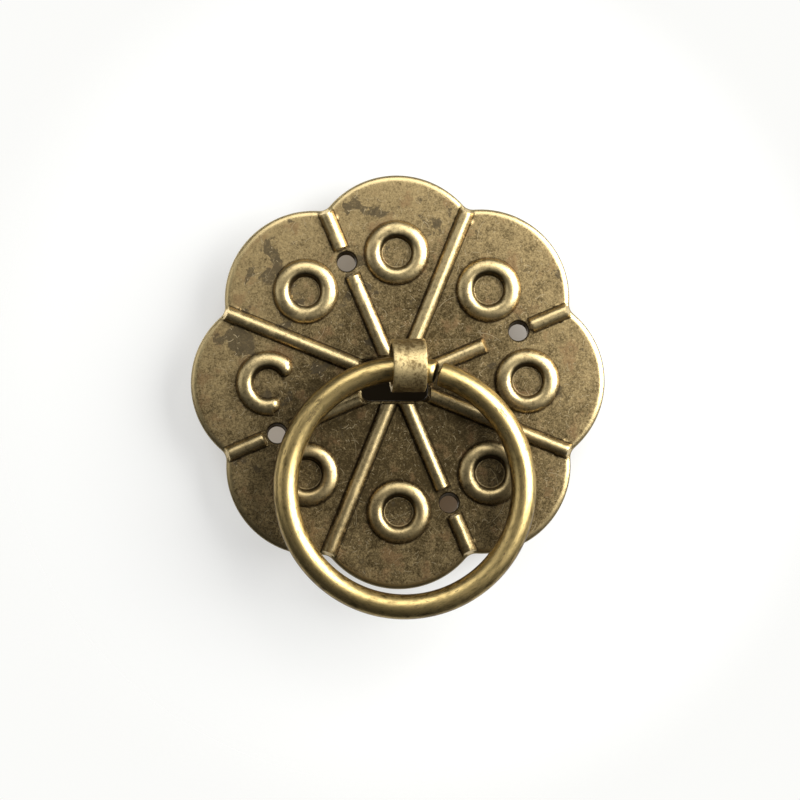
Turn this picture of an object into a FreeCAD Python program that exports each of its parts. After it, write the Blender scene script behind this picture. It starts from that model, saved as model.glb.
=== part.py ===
import FreeCAD, Part
import Sketcher
import math
import os

# Ring pull handle: a pressed flower-shaped plate, a folded strip pin and a hanging wire ring.
# The plate stands upright: +Z is up and its front faces -Y. Lengths in mm, angles in degrees.

SIZES = {
    # plate outline
    "sheet_thickness": 0.5,
    "lobe_count": 8,
    "lobe_circle_radius": 11.45,
    "lobe_radius": 8.55,
    "notch_radius": 1.3,
    "rim_round": 0.35,
    # pressed ribs, hollow behind
    "rib_width": 1.5,
    "rib_hollow_width": 1.2,
    "rib_inner_end": 1.3,
    "rib_outer_end": 17.6,
    "rib_hollow_start": 4.4,
    "rib_hole_margin": 0.35,
    "short_rib_end": 9.2,
    # pressed ring bosses, hollow behind
    "boss_circle_radius": 12.5,
    "boss_crest_radius": 2.1,
    "boss_ridge_width": 1.55,
    "boss_hollow_width": 1.2,
    "open_boss_start": 42.0,
    "open_boss_sweep": 238.0,
    # nail holes and the slot for the pin
    "nail_circle_diameter": 25.3,
    "nail_hole_diameter": 2.0,
    "slot_left": 3.4,
    "slot_bottom": 1.75,
    "slot_side_clearance": 0.65,
    "slot_top_clearance": 0.1,
    "slot_corner": 0.7,
    # folded strip pin
    "strip_width": 3.2,
    "strip_thickness": 0.5,
    "leg_gap": 0.15,
    "short_leg_length": 12.5,
    "long_leg_length": 14.0,
    "shoulder_round": 0.45,
    "pin_offset_x": 0.6,
    "pin_offset_y": 1.58,
    "pin_lean": 6.0,
    "pin_seat_clearance": 0.05,
    "eye_play": 0.85,
    # wire ring
    "ring_outer_diameter": 25.1,
    "wire_diameter": 2.4,
    "wire_drop": 0.3,
    "ring_offset_x": 0.41,
    "ring_gap": 0.4,
    "ring_gap_angle": 73.0,
    "blunt_end_round": 0.15,
    "tapered_end_round": 0.6,
}

HALF_STEP = "180 / sizes.lobe_count"
PIERCED_RIB_ANGLE = HALF_STEP
WHOLE_RIB_ANGLE = "3 * (%s)" % HALF_STEP
RIB_HEIGHT = "sizes.rib_width / 2"
NAIL_RADIUS = "sizes.nail_circle_diameter / 2"
HOLE_RADIUS = "sizes.nail_hole_diameter / 2"
WIRE_RADIUS = "sizes.wire_diameter / 2"
RING_RADIUS = "(sizes.ring_outer_diameter - sizes.wire_diameter) / 2"
BORE_RADIUS = "%s + sizes.eye_play" % WIRE_RADIUS
EYE_RADIUS = "%s + sizes.strip_thickness" % BORE_RADIUS
EYE_HEIGHT = "sizes.sheet_thickness + %s + sizes.pin_seat_clearance + %s" % (RIB_HEIGHT, EYE_RADIUS)
LEG_INNER = "sizes.leg_gap / 2"
LEG_OUTER = "%s + sizes.strip_thickness" % LEG_INNER

UPRIGHT = FreeCAD.Rotation(FreeCAD.Vector(1, 0, 0), 90)

doc = FreeCAD.newDocument("ring_pull_handle")
sheet = doc.addObject("Spreadsheet::Sheet", "sizes")
for row, (alias, number) in enumerate(SIZES.items(), start=1):
    sheet.set("A%d" % row, alias)
    sheet.set("B%d" % row, str(number))
    sheet.setAlias("B%d" % row, alias)
doc.recompute()


def value(expression):
    """The present value of a sheet expression, for first positions in a sketch."""
    return float(sheet.evalExpression(expression))


def origin_item(body, role):
    return next(item for item in body.Origin.OriginFeatures if item.Role == role)


def new_body(label):
    body = doc.addObject("PartDesign::Body", label)
    body.Label = label
    body.Placement = FreeCAD.Placement(FreeCAD.Vector(), UPRIGHT)
    return body


def attach(item, body, plane, turn_axis=(0, 0, 1), turn=None, **shift):
    """Sits on an origin plane, turned and shifted by sheet expressions."""
    item.AttachmentSupport = [(origin_item(body, plane), "")]
    item.MapMode = "FlatFace"
    item.AttachmentOffset = FreeCAD.Placement(
        FreeCAD.Vector(), FreeCAD.Rotation(FreeCAD.Vector(*turn_axis), 1)
    )
    item.setExpression("AttachmentOffset.Rotation.Angle", turn or "0")
    for axis, expression in shift.items():
        item.setExpression("AttachmentOffset.Base.%s" % axis, expression)


def new_sketch(body, name, plane, **place):
    sketch = body.newObject("Sketcher::SketchObject", name)
    attach(sketch, body, plane, **place)
    return sketch


def dimension(sketch, kind, *target, size):
    """A dimension that follows the sheet."""
    index = sketch.addConstraint(Sketcher.Constraint(kind, *target, value(size)))
    sketch.setExpression("Constraints[%d]" % index, size)


def join(sketch, *links):
    """Each link is (kind, geometry, point, ...) as the sketcher takes it."""
    for link in links:
        sketch.addConstraint(Sketcher.Constraint(*link))


def line(sketch, start, end):
    return sketch.addGeometry(Part.LineSegment(FreeCAD.Vector(*start), FreeCAD.Vector(*end)))


def arc(sketch, centre, radius, first, last):
    circle = Part.Circle(FreeCAD.Vector(*centre), FreeCAD.Vector(0, 0, 1), radius)
    return sketch.addGeometry(Part.ArcOfCircle(circle, math.radians(first), math.radians(last)))


def circle_sketch(body, name, plane, radius, distance, **place):
    """A circle on the sketch's first axis, at a distance from the middle."""
    sketch = new_sketch(body, name, plane, **place)
    sketch.addGeometry(
        Part.Circle(FreeCAD.Vector(value(distance), 0), FreeCAD.Vector(0, 0, 1), value(radius))
    )
    join(sketch, ("PointOnObject", 0, 3, -1))
    dimension(sketch, "Radius", 0, size=radius)
    dimension(sketch, "DistanceX", -1, 1, 0, 3, size=distance)
    return sketch


def lobe_sector_sketch(body, name):
    """One lobe with half a rounded notch at either side, closed by two lines to the middle."""
    sketch = new_sketch(body, name, "XY_Plane")
    reach = value("sizes.lobe_circle_radius")
    lobe = value("sizes.lobe_radius")
    notch = value("sizes.notch_radius")
    half_angle = value(HALF_STEP)
    along = reach * math.cos(math.radians(half_angle))
    across = reach * math.sin(math.radians(half_angle))
    notch_reach = along + math.sqrt((lobe + notch) ** 2 - across ** 2)
    ray_x = math.cos(math.radians(half_angle))
    ray_y = math.sin(math.radians(half_angle))
    notch_x, notch_y = notch_reach * ray_x, notch_reach * ray_y
    bottom = notch_reach - notch
    lean = math.degrees(math.atan2(notch_y, notch_x - reach))
    lower_side = line(sketch, (0, 0), (bottom * ray_x, -bottom * ray_y))
    lower_notch = arc(sketch, (notch_x, -notch_y), notch, 180 - lean, 180 - half_angle)
    crown = arc(sketch, (reach, 0), lobe, -lean, lean)
    upper_notch = arc(sketch, (notch_x, notch_y), notch, 180 + half_angle, 180 + lean)
    upper_side = line(sketch, (bottom * ray_x, bottom * ray_y), (0, 0))
    join(
        sketch,
        ("Coincident", lower_side, 1, -1, 1),
        ("Coincident", lower_side, 2, lower_notch, 2),
        ("Tangent", lower_notch, 1, crown, 1),
        ("Tangent", crown, 2, upper_notch, 2),
        ("Coincident", upper_notch, 1, upper_side, 1),
        ("Coincident", upper_side, 2, -1, 1),
        ("PointOnObject", crown, 3, -1),
        ("PointOnObject", lower_notch, 3, lower_side),
        ("PointOnObject", upper_notch, 3, upper_side),
        ("Equal", lower_notch, upper_notch),
    )
    dimension(sketch, "DistanceX", -1, 1, crown, 3, size="sizes.lobe_circle_radius")
    dimension(sketch, "Radius", crown, size="sizes.lobe_radius")
    dimension(sketch, "Radius", upper_notch, size="sizes.notch_radius")
    dimension(sketch, "Angle", -1, 1, upper_side, 2, size="(%s) * 1 deg" % HALF_STEP)
    dimension(sketch, "Angle", lower_side, 1, -1, 1, size="(%s) * 1 deg" % HALF_STEP)
    return sketch


def half_bar_sketch(body, name, start, end, half_width, rounded_start, **place):
    """Half the outline of a straight bar lying along the sketch's first axis."""
    sketch = new_sketch(body, name, "XY_Plane", **place)
    near, far, half = value(start), value(end), value(half_width)
    shoulder = near + half if rounded_start else near
    base = line(sketch, (near, 0), (far, 0))
    tip = arc(sketch, (far - half, 0), half, 0, 90)
    side = line(sketch, (far - half, half), (shoulder, half))
    join(
        sketch,
        ("PointOnObject", base, 1, -1),
        ("PointOnObject", base, 2, -1),
        ("PointOnObject", tip, 3, -1),
        ("Coincident", base, 2, tip, 1),
        ("Tangent", tip, 2, side, 1),
        ("Horizontal", side),
    )
    if rounded_start:
        heel = arc(sketch, (shoulder, 0), half, 90, 180)
        join(
            sketch,
            ("PointOnObject", heel, 3, -1),
            ("Tangent", side, 2, heel, 1),
            ("Coincident", heel, 2, base, 1),
        )
    else:
        heel = line(sketch, (near, half), (near, 0))
        join(
            sketch,
            ("Coincident", side, 2, heel, 1),
            ("Coincident", heel, 2, base, 1),
            ("Vertical", heel),
        )
    dimension(sketch, "Radius", tip, size=half_width)
    dimension(sketch, "DistanceX", -1, 1, base, 1, size=start)
    dimension(sketch, "DistanceX", -1, 1, base, 2, size=end)
    return sketch


def ridge_section_sketch(body, name, axis_distance, half_width, floor, **place):
    """The half-round section of a ring ridge, with the ring's own axis."""
    sketch = new_sketch(body, name, "XZ_Plane", turn_axis=(0, 1, 0), **place)
    axis_x, level, half = value(axis_distance), value(floor), value(half_width)
    crest_x = axis_x + value("sizes.boss_crest_radius")
    crown = arc(sketch, (crest_x, level), half, 0, 180)
    base = line(sketch, (crest_x - half, level), (crest_x + half, level))
    axis = line(sketch, (axis_x, level), (axis_x, level + 1))
    sketch.toggleConstruction(axis)
    join(
        sketch,
        ("Coincident", crown, 2, base, 1),
        ("Coincident", crown, 1, base, 2),
        ("PointOnObject", crown, 3, base),
        ("Horizontal", base),
        ("Vertical", axis),
    )
    dimension(sketch, "Radius", crown, size=half_width)
    dimension(sketch, "DistanceX", axis, 1, crown, 3, size="sizes.boss_crest_radius")
    dimension(sketch, "DistanceY", axis, 1, axis, 2, size="sizes.sheet_thickness")
    if axis_distance == "0":
        join(sketch, ("PointOnObject", axis, 1, -2))
    else:
        dimension(sketch, "DistanceX", -1, 1, axis, 1, size=axis_distance)
    if floor == "0":
        join(sketch, ("PointOnObject", crown, 3, -1), ("PointOnObject", axis, 1, -1))
    else:
        dimension(sketch, "DistanceY", -1, 1, crown, 3, size=floor)
        dimension(sketch, "DistanceY", -1, 1, axis, 1, size=floor)
    return sketch


def ridge_end_sketch(body, name, outer_side, **place):
    """Half a ridge section, up to the axis on which it turns into a rounded end."""
    sketch = new_sketch(body, name, "XZ_Plane", turn_axis=(0, 1, 0), **place)
    crest_x, level = value("sizes.boss_crest_radius"), value("sizes.sheet_thickness")
    half = value("sizes.boss_ridge_width / 2")
    side = 1 if outer_side else -1
    crown = arc(sketch, (crest_x, level), half, 0 if outer_side else 90, 90 if outer_side else 180)
    foot, top = (1, 2) if outer_side else (2, 1)
    base = line(sketch, (crest_x + side * half, level), (crest_x, level))
    stem = line(sketch, (crest_x, level), (crest_x, level + half))
    axis = line(sketch, (crest_x, level), (crest_x, level + half))
    sketch.toggleConstruction(axis)
    join(
        sketch,
        ("Coincident", crown, foot, base, 1),
        ("Coincident", base, 2, stem, 1),
        ("Coincident", stem, 2, crown, top),
        ("Coincident", crown, 3, base, 2),
        ("Coincident", axis, 1, stem, 1),
        ("Coincident", axis, 2, stem, 2),
        ("Horizontal", base),
        ("Vertical", stem),
    )
    dimension(sketch, "Radius", crown, size="sizes.boss_ridge_width / 2")
    dimension(sketch, "DistanceX", -1, 1, crown, 3, size="sizes.boss_crest_radius")
    dimension(sketch, "DistanceY", -1, 1, crown, 3, size="sizes.sheet_thickness")
    return sketch


def slot_sketch(body, name, right, top):
    """An upright rectangle with rounded corners, given by its four edges."""
    sketch = new_sketch(body, name, "XY_Plane")
    x_low, x_high = -value("sizes.slot_left"), value(right)
    y_low, y_high = -value("sizes.slot_bottom"), value(top)
    bend = value("sizes.slot_corner")
    bottom_side = line(sketch, (x_low + bend, y_low), (x_high - bend, y_low))
    right_side = line(sketch, (x_high, y_low + bend), (x_high, y_high - bend))
    top_side = line(sketch, (x_high - bend, y_high), (x_low + bend, y_high))
    left_side = line(sketch, (x_low, y_high - bend), (x_low, y_low + bend))
    sides = [bottom_side, right_side, top_side, left_side]
    centres = [
        (x_high - bend, y_low + bend),
        (x_high - bend, y_high - bend),
        (x_low + bend, y_high - bend),
        (x_low + bend, y_low + bend),
    ]
    bends = [arc(sketch, centre, bend, 90 * n - 90, 90 * n) for n, centre in enumerate(centres)]
    for n in range(4):
        join(
            sketch,
            ("Tangent", sides[n], 2, bends[n], 1),
            ("Tangent", bends[n], 2, sides[(n + 1) % 4], 1),
            ("Vertical" if n % 2 else "Horizontal", sides[n]),
        )
    for n in range(1, 4):
        join(sketch, ("Equal", bends[0], bends[n]))
    dimension(sketch, "Radius", bends[0], size="sizes.slot_corner")
    dimension(sketch, "DistanceX", left_side, 1, -1, 1, size="sizes.slot_left")
    dimension(sketch, "DistanceY", bottom_side, 1, -1, 1, size="sizes.slot_bottom")
    dimension(sketch, "DistanceX", -1, 1, right_side, 1, size=right)
    dimension(sketch, "DistanceY", -1, 1, top_side, 1, size=top)
    return sketch


def pad(body, sketch, length, midplane=False):
    feature = body.newObject("PartDesign::Pad", sketch.Name + "_pad")
    feature.Profile = sketch
    feature.setExpression("Length", length)
    feature.Midplane = midplane
    return feature


def cut_through(body, sketch):
    feature = body.newObject("PartDesign::Pocket", sketch.Name + "_cut")
    feature.Profile = sketch
    feature.Type = "ThroughAll"
    feature.Reversed = True
    return feature


def turned(body, kind, sketch, axis, angle):
    """A Revolution or a Groove about one of its sketch's axes."""
    feature = body.newObject("PartDesign::" + kind, sketch.Name + "_" + kind.lower())
    feature.Profile = sketch
    feature.ReferenceAxis = (sketch, [axis])
    feature.setExpression("Angle", angle)
    return feature


def repeated(body, feature, count, angle="360"):
    pattern = body.newObject("PartDesign::PolarPattern", feature.Name + "_pattern")
    pattern.Originals = [feature]
    pattern.Axis = (origin_item(body, "Z_Axis"), [""])
    pattern.setExpression("Angle", angle)
    pattern.setExpression("Occurrences", count)
    body.Tip = pattern
    return pattern


def rounded(body, name, radius, wanted):
    """Rounds those edges of the body's present shape that the test picks out."""
    doc.recompute()
    base = body.Tip
    names = [
        "Edge%d" % number
        for number, edge in enumerate(base.Shape.Edges, start=1)
        if wanted(edge)
    ]
    feature = body.newObject("PartDesign::Fillet", name)
    feature.Base = (base, names)
    feature.setExpression("Radius", radius)
    return feature


def runs_along(edge, direction):
    if edge.Degenerated or not isinstance(edge.Curve, Part.Line):
        return False
    return abs(edge.tangentAt(edge.FirstParameter).dot(direction)) > 0.9


def is_front_rim(edge):
    front = value("sizes.sheet_thickness")
    return min(edge.BoundBox.ZMin, edge.BoundBox.ZMax) > front - 1e-6


def press_bars(body, name, angle, start, end, count, sweep="360", hollow_start=None):
    """Half-round ribs on the front with a narrower hollow behind each."""
    rib = half_bar_sketch(
        body, name, start, end, RIB_HEIGHT, False, turn=angle, z="sizes.sheet_thickness"
    )
    repeated(body, turned(body, "Revolution", rib, "H_Axis", "180"), count, sweep)
    wall = "(sizes.rib_width - sizes.rib_hollow_width) / 2"
    hollow = half_bar_sketch(
        body,
        name + "_hollow",
        hollow_start or "sizes.rib_hollow_start",
        "%s - %s" % (end, wall),
        "sizes.rib_hollow_width / 2",
        True,
        turn=angle,
    )
    repeated(body, turned(body, "Groove", hollow, "H_Axis", "180"), count, sweep)


# Backplate
plate = new_body("backplate")
lobe = lobe_sector_sketch(plate, "lobe")
repeated(plate, pad(plate, lobe, "sizes.sheet_thickness"), "sizes.lobe_count")
rounded(plate, "front_rim", "sizes.rim_round", is_front_rim)

# Four ribs run unbroken; the other four are broken by the nail holes, one of them early
press_bars(plate, "whole_rib", WHOLE_RIB_ANGLE, "sizes.rib_inner_end", "sizes.rib_outer_end", "4")
press_bars(
    plate,
    "outer_rib",
    PIERCED_RIB_ANGLE,
    NAIL_RADIUS,
    "sizes.rib_outer_end",
    "4",
    hollow_start="%s + %s + sizes.rib_hole_margin" % (NAIL_RADIUS, HOLE_RADIUS),
)
press_bars(
    plate,
    "inner_rib",
    "%s + 90" % PIERCED_RIB_ANGLE,
    "sizes.rib_inner_end",
    "%s - %s - sizes.rib_hole_margin" % (NAIL_RADIUS, HOLE_RADIUS),
    "3",
    sweep="180",
)
press_bars(plate, "short_rib", PIERCED_RIB_ANGLE, "sizes.rib_inner_end", "sizes.short_rib_end", "1")

# One ring boss in each lobe, seven of them whole
boss = ridge_section_sketch(
    plate, "boss", "sizes.boss_circle_radius", "sizes.boss_ridge_width / 2", "sizes.sheet_thickness",
    turn="225",
)
repeated(plate, turned(plate, "Revolution", boss, "Axis0", "360"), "7", "270")
boss_hollow = ridge_section_sketch(
    plate, "boss_hollow", "sizes.boss_circle_radius", "sizes.boss_hollow_width / 2", "0", turn="225"
)
repeated(plate, turned(plate, "Groove", boss_hollow, "Axis0", "360"), "7", "270")

# The boss in the left lobe is struck as an open ring with rounded ends
open_boss = ridge_section_sketch(
    plate, "open_boss", "0", "sizes.boss_ridge_width / 2", "sizes.sheet_thickness",
    turn="sizes.open_boss_start", x="-sizes.boss_circle_radius",
)
turned(plate, "Revolution", open_boss, "Axis0", "sizes.open_boss_sweep")
open_boss_hollow = ridge_section_sketch(
    plate, "open_boss_hollow", "0", "sizes.boss_hollow_width / 2", "0",
    turn="sizes.open_boss_start", x="-sizes.boss_circle_radius",
)
turned(plate, "Groove", open_boss_hollow, "Axis0", "sizes.open_boss_sweep")
for end_name, end_angle, outer_side in (
    ("open_boss_upper_end", "sizes.open_boss_start", False),
    ("open_boss_lower_end", "sizes.open_boss_start + sizes.open_boss_sweep", True),
):
    quarter = ridge_end_sketch(
        plate, end_name, outer_side, turn=end_angle, x="-sizes.boss_circle_radius"
    )
    turned(plate, "Revolution", quarter, "Axis0", "180")

nail_hole = circle_sketch(
    plate, "nail_hole", "XY_Plane", HOLE_RADIUS, NAIL_RADIUS, turn=PIERCED_RIB_ANGLE
)
repeated(plate, cut_through(plate, nail_hole), "4")

# Slot for the pin's two legs
slot_right = "sizes.pin_offset_x + sizes.strip_width / 2 + sizes.slot_side_clearance"
slot_top = "sizes.pin_offset_y + %s + sizes.slot_top_clearance" % LEG_OUTER
cut_through(plate, slot_sketch(plate, "slot", slot_right, slot_top))

# Split pin: one strip folded round the ring, both legs going back through the slot
pin = new_body("split_pin")
pin.setExpression(".Placement.Base.x", "sizes.pin_offset_x")
pin.setExpression(".Placement.Base.z", "sizes.pin_offset_y")
fold = new_sketch(pin, "fold", "YZ_Plane", turn_axis=(1, 0, 0), turn="sizes.pin_lean")
eye_y, outer_r, bore_r = value(EYE_HEIGHT), value(EYE_RADIUS), value(BORE_RADIUS)
leg_in, leg_out = value(LEG_INNER), value(LEG_OUTER)
neck_out = eye_y - math.sqrt(outer_r ** 2 - leg_out ** 2)
neck_in = eye_y - math.sqrt(bore_r ** 2 - leg_in ** 2)
long_tip, short_tip = -value("sizes.long_leg_length"), -value("sizes.short_leg_length")
spread_out = math.degrees(math.asin(leg_out / outer_r))
spread_in = math.degrees(math.asin(leg_in / bore_r))
loop_out = arc(fold, (0, eye_y), outer_r, -90 + spread_out, 270 - spread_out)
loop_in = arc(fold, (0, eye_y), bore_r, -90 + spread_in, 270 - spread_in)
upper_out = line(fold, (leg_out, neck_out), (leg_out, short_tip))
upper_tip = line(fold, (leg_out, short_tip), (leg_in, short_tip))
upper_in = line(fold, (leg_in, short_tip), (leg_in, neck_in))
lower_in = line(fold, (-leg_in, neck_in), (-leg_in, long_tip))
lower_tip = line(fold, (-leg_in, long_tip), (-leg_out, long_tip))
lower_out = line(fold, (-leg_out, long_tip), (-leg_out, neck_out))
join(
    fold,
    ("Coincident", loop_out, 3, loop_in, 3),
    ("PointOnObject", loop_out, 3, -2),
    ("Coincident", loop_out, 1, upper_out, 1),
    ("Coincident", upper_out, 2, upper_tip, 1),
    ("Coincident", upper_tip, 2, upper_in, 1),
    ("Coincident", upper_in, 2, loop_in, 1),
    ("Coincident", loop_in, 2, lower_in, 1),
    ("Coincident", lower_in, 2, lower_tip, 1),
    ("Coincident", lower_tip, 2, lower_out, 1),
    ("Coincident", lower_out, 2, loop_out, 2),
    ("Vertical", upper_out),
    ("Vertical", upper_in),
    ("Vertical", lower_in),
    ("Vertical", lower_out),
    ("Horizontal", upper_tip),
    ("Horizontal", lower_tip),
)
dimension(fold, "Radius", loop_out, size=EYE_RADIUS)
dimension(fold, "Radius", loop_in, size=BORE_RADIUS)
dimension(fold, "DistanceY", -1, 1, loop_out, 3, size=EYE_HEIGHT)
dimension(fold, "DistanceX", -1, 1, upper_in, 1, size=LEG_INNER)
dimension(fold, "DistanceX", -1, 1, upper_out, 2, size=LEG_OUTER)
dimension(fold, "DistanceX", lower_in, 2, -1, 1, size=LEG_INNER)
dimension(fold, "DistanceX", lower_out, 1, -1, 1, size=LEG_OUTER)
dimension(fold, "DistanceY", upper_out, 2, -1, 1, size="sizes.short_leg_length")
dimension(fold, "DistanceY", lower_out, 1, -1, 1, size="sizes.long_leg_length")
pad(pin, fold, "sizes.strip_width", midplane=True)


def is_shoulder(edge):
    across = runs_along(edge, FreeCAD.Vector(1, 0, 0))
    on_leg = abs(abs(edge.CenterOfMass.y) - leg_out) < 1e-3
    return across and on_leg and edge.CenterOfMass.z > 0


rounded(pin, "shoulders", "sizes.shoulder_round", is_shoulder)

# Ring: round wire bent to a circle, its two ends almost meeting beside the pin
ring = new_body("ring")
eye_side = "sizes.pin_offset_x + sin(sizes.pin_lean * 1 deg) * (%s)" % EYE_HEIGHT
eye_front = "cos(sizes.pin_lean * 1 deg) * (%s)" % EYE_HEIGHT
ring.setExpression(".Placement.Base.x", "%s - sizes.ring_offset_x" % eye_side)
ring.setExpression(".Placement.Base.y", "-%s" % eye_front)
ring.setExpression(".Placement.Base.z", "sizes.pin_offset_y - sizes.wire_drop - %s" % RING_RADIUS)
gap_angle = "sizes.ring_gap / (%s) * 180 / pi" % RING_RADIUS
wire = circle_sketch(
    ring, "wire", "XZ_Plane", WIRE_RADIUS, RING_RADIUS,
    turn_axis=(0, 1, 0), turn="sizes.ring_gap_angle + %s / 2" % gap_angle,
)
turned(ring, "Revolution", wire, "V_Axis", "360 - %s" % gap_angle)


def is_wire_end(after_gap):
    """The end rim lying after, or before, the middle of the gap."""
    def test(edge):
        middle = edge.CenterOfMass
        round_rim = isinstance(edge.Curve, Part.Circle) and abs(edge.Curve.Axis.z) < 0.01
        angle = math.degrees(math.atan2(middle.y, middle.x)) - value("sizes.ring_gap_angle")
        return round_rim and (angle > 0) == after_gap
    return test


rounded(ring, "tapered_end", "sizes.tapered_end_round", is_wire_end(True))
rounded(ring, "blunt_end", "sizes.blunt_end_round", is_wire_end(False))

doc.recompute()
for item in doc.Objects:
    if "Invalid" in item.State or "Error" in item.State:
        raise RuntimeError("feature %s failed: %s" % (item.Name, item.State))

os.makedirs("parts", exist_ok=True)
for body in (plate, pin, ring):
    shape = body.Shape
    if shape.isNull() or not shape.isValid() or len(shape.Solids) != 1:
        raise RuntimeError("body %s is not one valid solid" % body.Label)
    shape.exportStep("parts/%s.step" % body.Label)
    print(body.Label, round(shape.Volume, 3), shape.BoundBox)
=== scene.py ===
import math

import bmesh
import bpy
from mathutils import Matrix, Vector


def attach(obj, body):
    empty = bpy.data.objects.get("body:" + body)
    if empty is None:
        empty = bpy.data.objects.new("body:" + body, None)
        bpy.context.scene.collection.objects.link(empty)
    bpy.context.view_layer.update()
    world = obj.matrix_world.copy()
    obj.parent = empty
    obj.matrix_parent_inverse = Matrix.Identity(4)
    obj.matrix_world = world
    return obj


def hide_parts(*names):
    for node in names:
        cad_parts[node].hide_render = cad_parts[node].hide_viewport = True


# Ring pull handle: a pressed flower plate, a folded strip pin and a hanging wire ring.
# Shapes are worked in millimetres with the plate's front towards -Y, then brought to metres.

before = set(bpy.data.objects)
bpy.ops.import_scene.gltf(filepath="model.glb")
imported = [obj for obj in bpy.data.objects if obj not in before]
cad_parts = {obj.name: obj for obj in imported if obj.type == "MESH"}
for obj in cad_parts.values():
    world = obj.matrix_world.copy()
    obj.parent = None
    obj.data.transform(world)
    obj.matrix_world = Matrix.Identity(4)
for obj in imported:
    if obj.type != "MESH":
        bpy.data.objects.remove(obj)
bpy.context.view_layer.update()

MILLIMETRE = 0.001
UPRIGHT = Matrix.Rotation(math.radians(90), 3, "X")
SHARP_ANGLE = 50

# plate: outline and rim
SHEET = 0.5
LOBES = 8
HALF_LOBE = 180 / LOBES
LOBE_CIRCLE = 11.45
LOBE_RADIUS = 8.55
PLATE_REACH = LOBE_CIRCLE + LOBE_RADIUS
NOTCH_RADIUS = 1.3
RIM_WIDTH = 0.65
RIM_DROP = 0.35
RIM_STEPS = 5

# plate: ridges on the face and the hollows behind them
RIDGE_HEIGHT = 0.75
RIDGE_HALF = 0.8
HOLLOW_HALF = 0.6
HOLLOW_START = 4.4
RIB_HALF = 0.75
RIB_START = 1.3
RIB_TIP = 17.9
RIB_BEFORE_NAIL = 11.3
RIB_SHORTEST = 9.2
RIB_PAST_NAIL = 1.45
RIB_END_ROUND = 0.25
BOSS_CIRCLE = 12.5
BOSS_CREST = 2.12
BOSS_OUTER_HALF = 1.02
BOSS_INNER_HALF = 0.74
OPEN_BOSS_START = 42.0
OPEN_BOSS_SWEEP = 238.0

# plate: holes, and the punches that cut them from behind the back to before the face
NAIL_CIRCLE = 12.65
NAIL_HOLE = 0.93
NAIL_TAPER = 0.1
NAIL_FLARE = 0.16
SLOT = {"left": -3.4, "right": 2.85, "bottom": -1.75, "top": 2.255}
SLOT_CORNER = 0.7
SLOT_FLARE = 0.3
FLARE_TURNS = (0, 15, 30, 45, 60)
PUNCH_BACK = 0.2
PUNCH_FRONT = -3.0
PUNCH_SHOULDER = {"long": 0.13, "wide": 0.225}
PUNCH_LEAN = (-0.06, 0, -0.32)

# plate: its mesh, round rings out to ROUND_REACH and then rings that follow the outline
PLATE_STEPS = 576
PLATE_SHARP_ANGLE = 32
SECTION_START = 10
ROUND_REACH = 15.7
FOOT_START = 4.0
FOOT_END = 17.5
FOOT_CATCH = 0.055
FOOT_CATCH_SHARE = 0.0055
# runs of rings: where each run ends and the gap in it, finest where the bosses are
FACE_RUNS = (
    (8.4, 0.46),
    (9.3, 0.3),
    (ROUND_REACH, 0.11),
    (16.9, 0.4),
    (RIB_TIP, 0.18),
    (PLATE_REACH - RIM_WIDTH, 0.35),
)
BACK_RUNS = ((8.4, 0.6), (ROUND_REACH, 0.16), (PLATE_REACH, 0.5))

# plate: thin lines in its finish: a pale line round the floors, partly a painted highlight, and
# painted shade at the feet
FLOOR_LINE = 1.37
BOSS_FOOT_LINE = 3.16
RIB_FOOT_LINE = 0.78
RIGHT_OF_OPEN_BOSS = (-9.6, -9.4)

# pin
STRIP_WIDTH = 3.2
STRIP_THICKNESS = 0.5
STRIP_EDGE = 0.09
STRIP_STEPS = 8
LEG_OUTER = 0.575
EYE_RADIUS = 2.55
EYE_FORWARD = 3.85
EYE_STEPS = 64
NECK_BEND = 0.5
SHORT_LEG = 12.5
LONG_LEG = 14.0
PIN_PLACE = Matrix.Translation((0.6, 0, 1.58)) @ Matrix.Rotation(math.radians(6), 4, "Z")

# ring
RING_CENTRE = Vector((0.592, -3.829, -10.07))
RING_RADIUS = 11.35
RING_STEPS = 120
WIRE_RADIUS = 1.2
WIRE_STEPS = 40
GAP_MIDDLE = 73.0
GAP_ANGLE = 2.02
GAP_SLANT = 0.9
FILED_END = 0.5
BROKEN_END = 0.15

# stage, lights and camera, in metres
BOARD_HALF = 0.048
BOARD_PLACE = (0, 0.0042, -0.002)
# each light: place, size, power
LIGHTS = {
    "key": ((0.27, -0.2, 0.095), 0.32, 3.5),
    "top": ((-0.03, -0.29, 0.24), 0.26, 0.55),
    "fill": ((-0.29, -0.18, 0.06), 0.22, 0.15),
    "behind": ((-0.2, 0.24, 0.16), 0.3, 2.4),
}
CAMERA_PLACE = (0.00021, -0.2515, -0.00171)
CAMERA_ROLL = -0.49
CAMERA_LENS = 117
CAMERA_NEAR = 0.01

# each rib: direction in degrees, where it starts, where its rounded tip ends
RIBS = (
    [(3 * HALF_LOBE + 90 * n, RIB_START, RIB_TIP) for n in range(4)]
    + [(HALF_LOBE + 90 * n, NAIL_CIRCLE + RIB_PAST_NAIL, RIB_TIP) for n in range(4)]
    + [(5 * HALF_LOBE + 90 * n, RIB_START, RIB_BEFORE_NAIL) for n in range(3)]
    + [(HALF_LOBE, RIB_START, RIB_SHORTEST)]
)


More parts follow.
